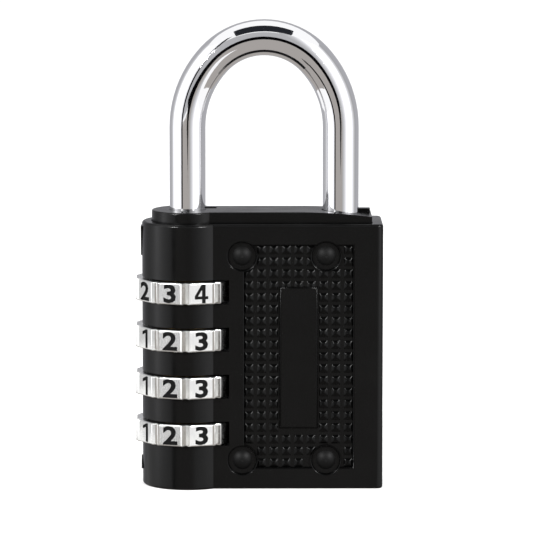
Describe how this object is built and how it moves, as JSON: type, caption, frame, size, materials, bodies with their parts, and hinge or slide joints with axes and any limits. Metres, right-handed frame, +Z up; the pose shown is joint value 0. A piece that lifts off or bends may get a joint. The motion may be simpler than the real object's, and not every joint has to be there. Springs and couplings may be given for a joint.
{
  "type": "combination padlock",
  "caption": "Combination padlock: flat knurled black case, number dials stacked in a barrel at one side, and a round chromed U-shaped shackle that lifts.",
  "frame": {"origin": "centre of the footprint, on the bottom face", "axes": "+Z up along the shackle legs, +X from the dials towards the plain side, -Y is the front"},
  "size_m": [0.0426, 0.0186, 0.0807],
  "materials": {
    "black_case": "semi-gloss black electrophoretic coat on die-cast zinc",
    "black_rivet": "black-coated steel rivet",
    "chromed_steel": "bright chrome plate on steel",
    "plated_dial": "satin nickel-chrome plate on die-cast zinc, numerals filled black",
    "brass_sleeve": "turned brass",
    "spring_steel": "bare spring steel"
  },
  "bodies": {
    "case": {"front_case": "black_case", "back_case": "black_case", "top_cap": "black_case", "case_rivets": "black_rivet", "click_spring": "spring_steel", "spring_base": "spring_steel", "guide_pin": "spring_steel", "lift_spring": "spring_steel", "reset_spring": "spring_steel"},
    "shackle": {"shackle": "chromed_steel"},
    "dial_1": {"dial_1": "plated_dial"},
    "dial_2": {"dial_2": "plated_dial"},
    "dial_3": {"dial_3": "plated_dial"},
    "dial_4": {"dial_4": "plated_dial"},
    "sleeve_1": {"sleeve_1": "brass_sleeve"},
    "sleeve_2": {"sleeve_2": "brass_sleeve"},
    "sleeve_3": {"sleeve_3": "brass_sleeve"},
    "sleeve_4": {"sleeve_4": "brass_sleeve"},
    "thrust_washer": {"thrust_washer": "spring_steel"}
  },
  "joints": [
    {"name": "shackle_lift", "type": "slide", "parent": "case", "child": "shackle", "axis": [0, 0, 1], "range_m": [0, 0.0082], "deforming": ["lift_spring"]},
    {"name": "dial_1_spin", "type": "hinge", "parent": "case", "child": "dial_1", "pos_m": [-0.01225, 0, 0.0343], "axis": [0, 0, 1], "continuous": true},
    {"name": "dial_2_spin", "type": "hinge", "parent": "case", "child": "dial_2", "pos_m": [-0.01225, 0, 0.0261], "axis": [0, 0, 1], "continuous": true},
    {"name": "dial_3_spin", "type": "hinge", "parent": "case", "child": "dial_3", "pos_m": [-0.01225, 0, 0.0179], "axis": [0, 0, 1], "continuous": true},
    {"name": "dial_4_spin", "type": "hinge", "parent": "case", "child": "dial_4", "pos_m": [-0.01225, 0, 0.0097], "axis": [0, 0, 1], "continuous": true},
    {"name": "sleeve_1_slide", "type": "slide", "parent": "dial_1", "child": "sleeve_1", "axis": [0, 0, -1], "range_m": [0, 0.0016], "stiffness_N_per_m": 1500, "springref_m": -0.003, "deforming": ["reset_spring"]},
    {"name": "sleeve_2_slide", "type": "slide", "parent": "dial_2", "child": "sleeve_2", "axis": [0, 0, -1], "range_m": [0, 0.0016]},
    {"name": "sleeve_3_slide", "type": "slide", "parent": "dial_3", "child": "sleeve_3", "axis": [0, 0, -1], "range_m": [0, 0.0016]},
    {"name": "sleeve_4_slide", "type": "slide", "parent": "dial_4", "child": "sleeve_4", "axis": [0, 0, -1], "range_m": [0, 0.0016]},
    {"name": "washer_slide", "type": "slide", "parent": "case", "child": "thrust_washer", "axis": [0, 0, -1], "range_m": [0, 0.0016]}
  ],
  "couplings": [
    {"joint": "sleeve_2_slide", "follows": "sleeve_1_slide", "ratio": 1},
    {"joint": "sleeve_3_slide", "follows": "sleeve_1_slide", "ratio": 1},
    {"joint": "sleeve_4_slide", "follows": "sleeve_1_slide", "ratio": 1},
    {"joint": "washer_slide", "follows": "sleeve_1_slide", "ratio": 1}
  ]
}
